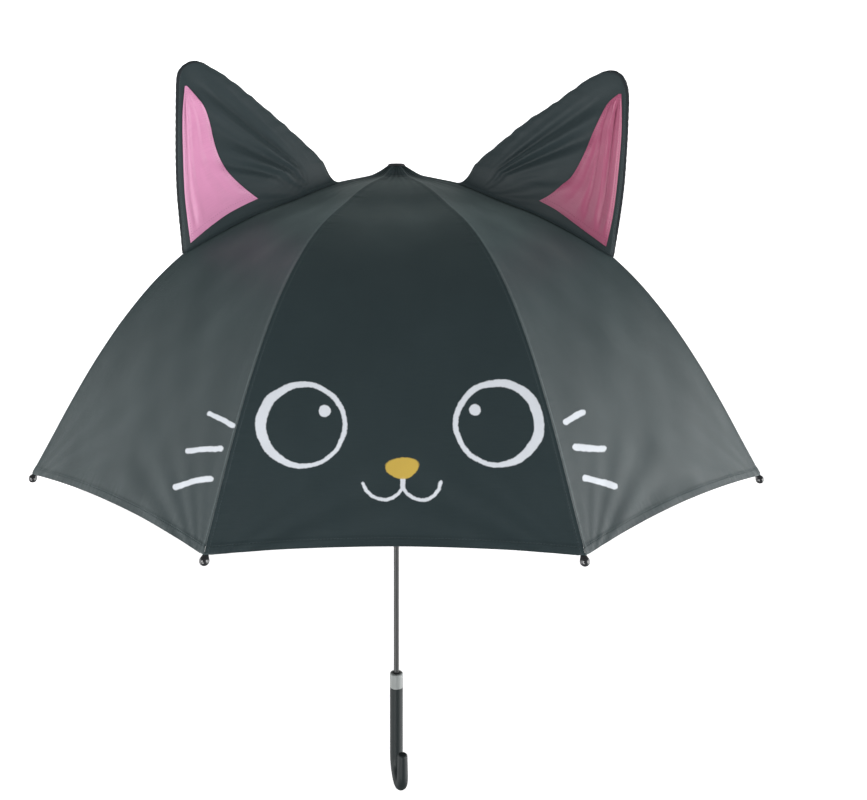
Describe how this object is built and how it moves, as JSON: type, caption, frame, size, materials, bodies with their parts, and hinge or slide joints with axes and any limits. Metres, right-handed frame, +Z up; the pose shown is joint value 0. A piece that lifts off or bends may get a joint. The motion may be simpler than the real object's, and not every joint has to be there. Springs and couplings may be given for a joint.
{
  "type": "children's umbrella",
  "caption": "Small stick umbrella with a domed dark canopy that shows a cat face, two standing cat ears, ball-tipped ribs, a sliding runner and a crook handle.",
  "frame": {"origin": "on the shaft's axis, half way up the straight hand grip", "axes": "+Z up along the shaft towards the cap, -Y towards the front panel with the face, +X to the right seen from the front"},
  "size_m": [0.713, 0.713, 0.8028],
  "materials": {
    "black_cloth": "satin",
    "ear_cloth": "satin",
    "boning_plastic": "matte",
    "black_steel": "satin",
    "bright_steel": "satin",
    "black_plastic": "glossy",
    "grey_plastic": "satin"
  },
  "bodies": {
    "frame": {"shaft": "black_steel", "top_notch": "black_steel", "notch_wire": "bright_steel", "crown_washer": "black_cloth", "top_cap": "black_plastic", "collar": "grey_plastic", "handle": "black_plastic"},
    "runner": {"runner": "black_plastic", "runner_wire": "bright_steel"},
    "rib_1": {"rib_1": "black_steel"},
    "tip_1": {"tip_1": "black_plastic"},
    "stretcher_1": {"stretcher_1": "black_steel"},
    "panel_1": {"panel_1": "black_cloth"},
    "hem_1": {"hem_1": "black_cloth"},
    "rib_2": {"rib_2": "black_steel"},
    "tip_2": {"tip_2": "black_plastic"},
    "stretcher_2": {"stretcher_2": "black_steel"},
    "panel_2": {"panel_2": "black_cloth"},
    "hem_2": {"hem_2": "black_cloth"},
    "rib_3": {"rib_3": "black_steel", "ear_right": "ear_cloth", "ear_right_boning": "boning_plastic"},
    "tip_3": {"tip_3": "black_plastic"},
    "stretcher_3": {"stretcher_3": "black_steel"},
    "panel_3": {"panel_3": "black_cloth"},
    "hem_3": {"hem_3": "black_cloth"},
    "rib_4": {"rib_4": "black_steel"},
    "tip_4": {"tip_4": "black_plastic"},
    "stretcher_4": {"stretcher_4": "black_steel"},
    "panel_4": {"panel_4": "black_cloth"},
    "hem_4": {"hem_4": "black_cloth"},
    "rib_5": {"rib_5": "black_steel"},
    "tip_5": {"tip_5": "black_plastic"},
    "stretcher_5": {"stretcher_5": "black_steel"},
    "panel_5": {"panel_5": "black_cloth"},
    "hem_5": {"hem_5": "black_cloth"},
    "rib_6": {"rib_6": "black_steel"},
    "tip_6": {"tip_6": "black_plastic"},
    "stretcher_6": {"stretcher_6": "black_steel"},
    "panel_6": {"panel_6": "black_cloth"},
    "hem_6": {"hem_6": "black_cloth"},
    "rib_7": {"rib_7": "black_steel"},
    "tip_7": {"tip_7": "black_plastic"},
    "stretcher_7": {"stretcher_7": "black_steel"},
    "panel_7": {"panel_7": "black_cloth"},
    "hem_7": {"hem_7": "black_cloth"},
    "rib_8": {"rib_8": "black_steel", "ear_left": "ear_cloth", "ear_left_boning": "boning_plastic"},
    "tip_8": {"tip_8": "black_plastic"},
    "stretcher_8": {"stretcher_8": "black_steel"},
    "panel_8": {"panel_8": "black_cloth"},
    "hem_8": {"hem_8": "black_cloth"},
    "lower_catch": {"lower_catch": "bright_steel"},
    "upper_catch": {"upper_catch": "bright_steel"}
  },
  "joints": [
    {"name": "runner_slide", "type": "slide", "parent": "frame", "child": "runner", "axis": [0, 0, -1], "range_m": [0, 0.30147], "deforming": ["rib_1", "panel_1", "hem_1", "rib_2", "panel_2", "hem_2", "rib_3", "panel_3", "hem_3", "rib_4", "panel_4", "hem_4", "rib_5", "panel_5", "hem_5", "rib_6", "panel_6", "hem_6", "rib_7", "panel_7", "hem_7", "rib_8", "panel_8", "hem_8", "ear_right", "ear_right_boning", "ear_left", "ear_left_boning"]},
    {"name": "rib_1_pivot", "type": "hinge", "parent": "frame", "child": "rib_1", "pos_m": [-0.00306, -0.00739, 0.6313], "axis": [0.9239, -0.3827, 0], "range_deg": [0, 66.58]},
    {"name": "rib_1_flex", "type": "hinge", "parent": "rib_1", "child": "tip_1", "pos_m": [-0.08725, -0.21064, 0.55336], "axis": [0.9239, -0.3827, 0], "range_deg": [-29.81, 0]},
    {"name": "stretcher_1_pivot", "type": "hinge", "parent": "rib_1", "child": "stretcher_1", "pos_m": [-0.08629, -0.20833, 0.55025], "axis": [0.9239, -0.3827, 0], "range_deg": [-133.16, 0]},
    {"name": "panel_1_fold", "type": "hinge", "parent": "frame", "child": "panel_1", "pos_m": [0, -0.00739, 0.6313], "axis": [1, 0, 0], "range_deg": [0, 64.67]},
    {"name": "hem_1_fold", "type": "hinge", "parent": "panel_1", "child": "hem_1", "pos_m": [0, -0.21064, 0.556], "axis": [1, 0, 0], "range_deg": [-30.77, 0]},
    {"name": "rib_2_pivot", "type": "hinge", "parent": "frame", "child": "rib_2", "pos_m": [0.00306, -0.00739, 0.6313], "axis": [0.9239, 0.3827, 0], "range_deg": [0, 66.58]},
    {"name": "rib_2_flex", "type": "hinge", "parent": "rib_2", "child": "tip_2", "pos_m": [0.08725, -0.21064, 0.55336], "axis": [0.9239, 0.3827, 0], "range_deg": [-29.81, 0]},
    {"name": "stretcher_2_pivot", "type": "hinge", "parent": "rib_2", "child": "stretcher_2", "pos_m": [0.08629, -0.20833, 0.55025], "axis": [0.9239, 0.3827, 0], "range_deg": [-133.16, 0]},
    {"name": "panel_2_fold", "type": "hinge", "parent": "frame", "child": "panel_2", "pos_m": [0.00523, -0.00523, 0.6313], "axis": [0.7071, 0.7071, 0], "range_deg": [0, 64.67]},
    {"name": "hem_2_fold", "type": "hinge", "parent": "panel_2", "child": "hem_2", "pos_m": [0.14895, -0.14895, 0.556], "axis": [0.7071, 0.7071, 0], "range_deg": [-30.77, 0]},
    {"name": "rib_3_pivot", "type": "hinge", "parent": "frame", "child": "rib_3", "pos_m": [0.00739, -0.00306, 0.6313], "axis": [0.3827, 0.9239, 0], "range_deg": [0, 66.58]},
    {"name": "rib_3_flex", "type": "hinge", "parent": "rib_3", "child": "tip_3", "pos_m": [0.21064, -0.08725, 0.55336], "axis": [0.3827, 0.9239, 0], "range_deg": [-29.81, 0]},
    {"name": "stretcher_3_pivot", "type": "hinge", "parent": "rib_3", "child": "stretcher_3", "pos_m": [0.20833, -0.08629, 0.55025], "axis": [0.3827, 0.9239, 0], "range_deg": [-133.16, 0]},
    {"name": "panel_3_fold", "type": "hinge", "parent": "frame", "child": "panel_3", "pos_m": [0.00739, 0, 0.6313], "axis": [0, 1, 0], "range_deg": [0, 64.67]},
    {"name": "hem_3_fold", "type": "hinge", "parent": "panel_3", "child": "hem_3", "pos_m": [0.21064, 0, 0.556], "axis": [0, 1, 0], "range_deg": [-30.77, 0]},
    {"name": "rib_4_pivot", "type": "hinge", "parent": "frame", "child": "rib_4", "pos_m": [0.00739, 0.00306, 0.6313], "axis": [-0.3827, 0.9239, 0], "range_deg": [0, 66.58]},
    {"name": "rib_4_flex", "type": "hinge", "parent": "rib_4", "child": "tip_4", "pos_m": [0.21064, 0.08725, 0.55336], "axis": [-0.3827, 0.9239, 0], "range_deg": [-29.81, 0]},
    {"name": "stretcher_4_pivot", "type": "hinge", "parent": "rib_4", "child": "stretcher_4", "pos_m": [0.20833, 0.08629, 0.55025], "axis": [-0.3827, 0.9239, 0], "range_deg": [-133.16, 0]},
    {"name": "panel_4_fold", "type": "hinge", "parent": "frame", "child": "panel_4", "pos_m": [0.00523, 0.00523, 0.6313], "axis": [-0.7071, 0.7071, 0], "range_deg": [0, 64.67]},
    {"name": "hem_4_fold", "type": "hinge", "parent": "panel_4", "child": "hem_4", "pos_m": [0.14895, 0.14895, 0.556], "axis": [-0.7071, 0.7071, 0], "range_deg": [-30.77, 0]},
    {"name": "rib_5_pivot", "type": "hinge", "parent": "frame", "child": "rib_5", "pos_m": [0.00306, 0.00739, 0.6313], "axis": [-0.9239, 0.3827, 0], "range_deg": [0, 66.58]},
    {"name": "rib_5_flex", "type": "hinge", "parent": "rib_5", "child": "tip_5", "pos_m": [0.08725, 0.21064, 0.55336], "axis": [-0.9239, 0.3827, 0], "range_deg": [-29.81, 0]},
    {"name": "stretcher_5_pivot", "type": "hinge", "parent": "rib_5", "child": "stretcher_5", "pos_m": [0.08629, 0.20833, 0.55025], "axis": [-0.9239, 0.3827, 0], "range_deg": [-133.16, 0]},
    {"name": "panel_5_fold", "type": "hinge", "parent": "frame", "child": "panel_5", "pos_m": [0, 0.00739, 0.6313], "axis": [-1, 0, 0], "range_deg": [0, 64.67]},
    {"name": "hem_5_fold", "type": "hinge", "parent": "panel_5", "child": "hem_5", "pos_m": [0, 0.21064, 0.556], "axis": [-1, 0, 0], "range_deg": [-30.77, 0]},
    {"name": "rib_6_pivot", "type": "hinge", "parent": "frame", "child": "rib_6", "pos_m": [-0.00306, 0.00739, 0.6313], "axis": [-0.9239, -0.3827, 0], "range_deg": [0, 66.58]},
    {"name": "rib_6_flex", "type": "hinge", "parent": "rib_6", "child": "tip_6", "pos_m": [-0.08725, 0.21064, 0.55336], "axis": [-0.9239, -0.3827, 0], "range_deg": [-29.81, 0]},
    {"name": "stretcher_6_pivot", "type": "hinge", "parent": "rib_6", "child": "stretcher_6", "pos_m": [-0.08629, 0.20833, 0.55025], "axis": [-0.9239, -0.3827, 0], "range_deg": [-133.16, 0]},
    {"name": "panel_6_fold", "type": "hinge", "parent": "frame", "child": "panel_6", "pos_m": [-0.00523, 0.00523, 0.6313], "axis": [-0.7071, -0.7071, 0], "range_deg": [0, 64.67]},
    {"name": "hem_6_fold", "type": "hinge", "parent": "panel_6", "child": "hem_6", "pos_m": [-0.14895, 0.14895, 0.556], "axis": [-0.7071, -0.7071, 0], "range_deg": [-30.77, 0]},
    {"name": "rib_7_pivot", "type": "hinge", "parent": "frame", "child": "rib_7", "pos_m": [-0.00739, 0.00306, 0.6313], "axis": [-0.3827, -0.9239, 0], "range_deg": [0, 66.58]},
    {"name": "rib_7_flex", "type": "hinge", "parent": "rib_7", "child": "tip_7", "pos_m": [-0.21064, 0.08725, 0.55336], "axis": [-0.3827, -0.9239, 0], "range_deg": [-29.81, 0]},
    {"name": "stretcher_7_pivot", "type": "hinge", "parent": "rib_7", "child": "stretcher_7", "pos_m": [-0.20833, 0.08629, 0.55025], "axis": [-0.3827, -0.9239, 0], "range_deg": [-133.16, 0]},
    {"name": "panel_7_fold", "type": "hinge", "parent": "frame", "child": "panel_7", "pos_m": [-0.00739, 0, 0.6313], "axis": [0, -1, 0], "range_deg": [0, 64.67]},
    {"name": "hem_7_fold", "type": "hinge", "parent": "panel_7", "child": "hem_7", "pos_m": [-0.21064, 0, 0.556], "axis": [0, -1, 0], "range_deg": [-30.77, 0]},
    {"name": "rib_8_pivot", "type": "hinge", "parent": "frame", "child": "rib_8", "pos_m": [-0.00739, -0.00306, 0.6313], "axis": [0.3827, -0.9239, 0], "range_deg": [0, 66.58]},
    {"name": "rib_8_flex", "type": "hinge", "parent": "rib_8", "child": "tip_8", "pos_m": [-0.21064, -0.08725, 0.55336], "axis": [0.3827, -0.9239, 0], "range_deg": [-29.81, 0]},
    {"name": "stretcher_8_pivot", "type": "hinge", "parent": "rib_8", "child": "stretcher_8", "pos_m": [-0.20833, -0.08629, 0.55025], "axis": [0.3827, -0.9239, 0], "range_deg": [-133.16, 0]},
    {"name": "panel_8_fold", "type": "hinge", "parent": "frame", "child": "panel_8", "pos_m": [-0.00523, -0.00523, 0.6313], "axis": [0.7071, -0.7071, 0], "range_deg": [0, 64.67]},
    {"name": "hem_8_fold", "type": "hinge", "parent": "panel_8", "child": "hem_8", "pos_m": [-0.14895, -0.14895, 0.556], "axis": [0.7071, -0.7071, 0], "range_deg": [-30.77, 0]},
    {"name": "lower_catch_press", "type": "hinge", "parent": "frame", "child": "lower_catch", "pos_m": [0, 0.0001, 0.118], "axis": [1, 0, 0], "range_deg": [0, 7], "stiffness_Nm_per_rad": 0.3, "springref_deg": -6.88},
    {"name": "upper_catch_press", "type": "hinge", "parent": "frame", "child": "upper_catch", "pos_m": [0, 0.0001, 0.41259], "axis": [1, 0, 0], "range_deg": [0, 7], "stiffness_Nm_per_rad": 0.3, "springref_deg": -6.88}
  ],
  "couplings": [
    {"joint": "rib_1_pivot", "follows": "runner_slide", "rad_per_m": 3.8535},
    {"joint": "rib_1_flex", "follows": "runner_slide", "rad_per_m": -1.7244},
    {"joint": "stretcher_1_pivot", "follows": "runner_slide", "rad_per_m": -7.707},
    {"joint": "panel_1_fold", "follows": "runner_slide", "rad_per_m": 3.7429},
    {"joint": "hem_1_fold", "follows": "runner_slide", "rad_per_m": -1.7803},
    {"joint": "rib_2_pivot", "follows": "runner_slide", "rad_per_m": 3.8535},
    {"joint": "rib_2_flex", "follows": "runner_slide", "rad_per_m": -1.7244},
    {"joint": "stretcher_2_pivot", "follows": "runner_slide", "rad_per_m": -7.707},
    {"joint": "panel_2_fold", "follows": "runner_slide", "rad_per_m": 3.7429},
    {"joint": "hem_2_fold", "follows": "runner_slide", "rad_per_m": -1.7803},
    {"joint": "rib_3_pivot", "follows": "runner_slide", "rad_per_m": 3.8535},
    {"joint": "rib_3_flex", "follows": "runner_slide", "rad_per_m": -1.7244},
    {"joint": "stretcher_3_pivot", "follows": "runner_slide", "rad_per_m": -7.707},
    {"joint": "panel_3_fold", "follows": "runner_slide", "rad_per_m": 3.7429},
    {"joint": "hem_3_fold", "follows": "runner_slide", "rad_per_m": -1.7803},
    {"joint": "rib_4_pivot", "follows": "runner_slide", "rad_per_m": 3.8535},
    {"joint": "rib_4_flex", "follows": "runner_slide", "rad_per_m": -1.7244},
    {"joint": "stretcher_4_pivot", "follows": "runner_slide", "rad_per_m": -7.707},
    {"joint": "panel_4_fold", "follows": "runner_slide", "rad_per_m": 3.7429},
    {"joint": "hem_4_fold", "follows": "runner_slide", "rad_per_m": -1.7803},
    {"joint": "rib_5_pivot", "follows": "runner_slide", "rad_per_m": 3.8535},
    {"joint": "rib_5_flex", "follows": "runner_slide", "rad_per_m": -1.7244},
    {"joint": "stretcher_5_pivot", "follows": "runner_slide", "rad_per_m": -7.707},
    {"joint": "panel_5_fold", "follows": "runner_slide", "rad_per_m": 3.7429},
    {"joint": "hem_5_fold", "follows": "runner_slide", "rad_per_m": -1.7803},
    {"joint": "rib_6_pivot", "follows": "runner_slide", "rad_per_m": 3.8535},
    {"joint": "rib_6_flex", "follows": "runner_slide", "rad_per_m": -1.7244},
    {"joint": "stretcher_6_pivot", "follows": "runner_slide", "rad_per_m": -7.707},
    {"joint": "panel_6_fold", "follows": "runner_slide", "rad_per_m": 3.7429},
    {"joint": "hem_6_fold", "follows": "runner_slide", "rad_per_m": -1.7803},
    {"joint": "rib_7_pivot", "follows": "runner_slide", "rad_per_m": 3.8535},
    {"joint": "rib_7_flex", "follows": "runner_slide", "rad_per_m": -1.7244},
    {"joint": "stretcher_7_pivot", "follows": "runner_slide", "rad_per_m": -7.707},
    {"joint": "panel_7_fold", "follows": "runner_slide", "rad_per_m": 3.7429},
    {"joint": "hem_7_fold", "follows": "runner_slide", "rad_per_m": -1.7803},
    {"joint": "rib_8_pivot", "follows": "runner_slide", "rad_per_m": 3.8535},
    {"joint": "rib_8_flex", "follows": "runner_slide", "rad_per_m": -1.7244},
    {"joint": "stretcher_8_pivot", "follows": "runner_slide", "rad_per_m": -7.707},
    {"joint": "panel_8_fold", "follows": "runner_slide", "rad_per_m": 3.7429},
    {"joint": "hem_8_fold", "follows": "runner_slide", "rad_per_m": -1.7803}
  ]
}
